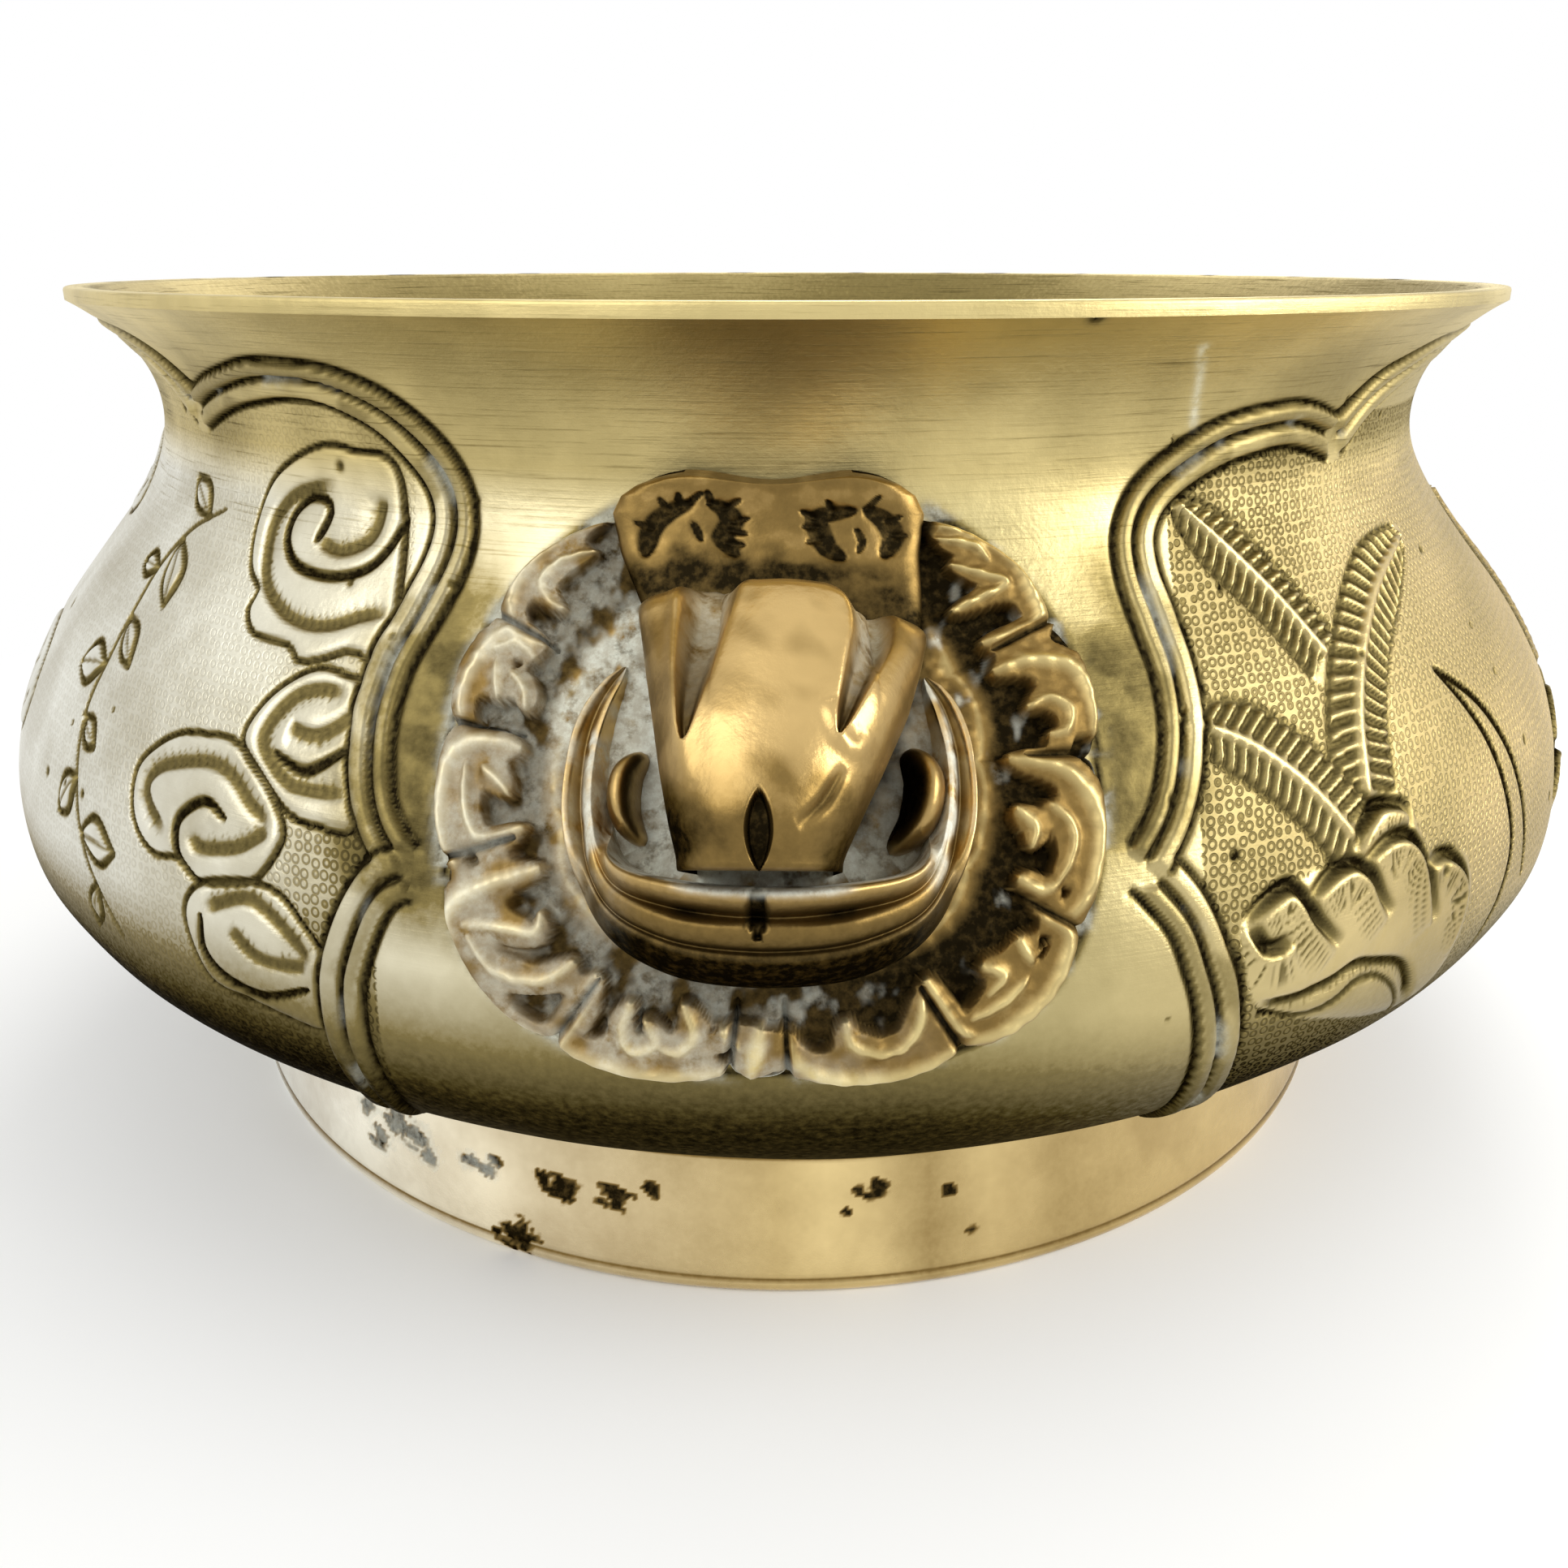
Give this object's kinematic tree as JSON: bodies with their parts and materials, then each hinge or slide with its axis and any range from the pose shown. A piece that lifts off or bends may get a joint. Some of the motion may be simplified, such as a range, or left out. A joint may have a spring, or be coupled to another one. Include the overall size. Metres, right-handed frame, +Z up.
{
  "type": "censer",
  "caption": "Round bronze incense burner with a bulging bowl, flared mouth, splayed foot ring and a riveted lion mask on two opposite sides.",
  "frame": {"origin": "centre of the bounding box's bottom: on the bowl's axis, on the plane that the foot ring stands on", "axes": "+Z up along the bowl's axis; the front lion mask faces -Y and the rear one +Y; +X completes the right-handed frame"},
  "size_m": [0.248, 0.2762, 0.123],
  "materials": {
    "aged_bronze": "aged and chased, olive-yellow patina",
    "bright_bronze": "rubbed bright, pitted",
    "dull_bronze": "cast and chased, dark in the recesses",
    "polished_bronze": "rubbed smooth, warm gold"
  },
  "bodies": {
    "root": {"bowl": "aged_bronze", "foot_ring": "bright_bronze", "front_mane": "dull_bronze", "front_upper_head": "polished_bronze", "front_lower_jaw": "polished_bronze", "front_head_washer": "aged_bronze", "front_jaw_washer": "aged_bronze", "rear_mane": "dull_bronze", "rear_upper_head": "polished_bronze", "rear_lower_jaw": "polished_bronze", "rear_head_washer": "aged_bronze", "rear_jaw_washer": "aged_bronze"}
  },
  "joints": []
}
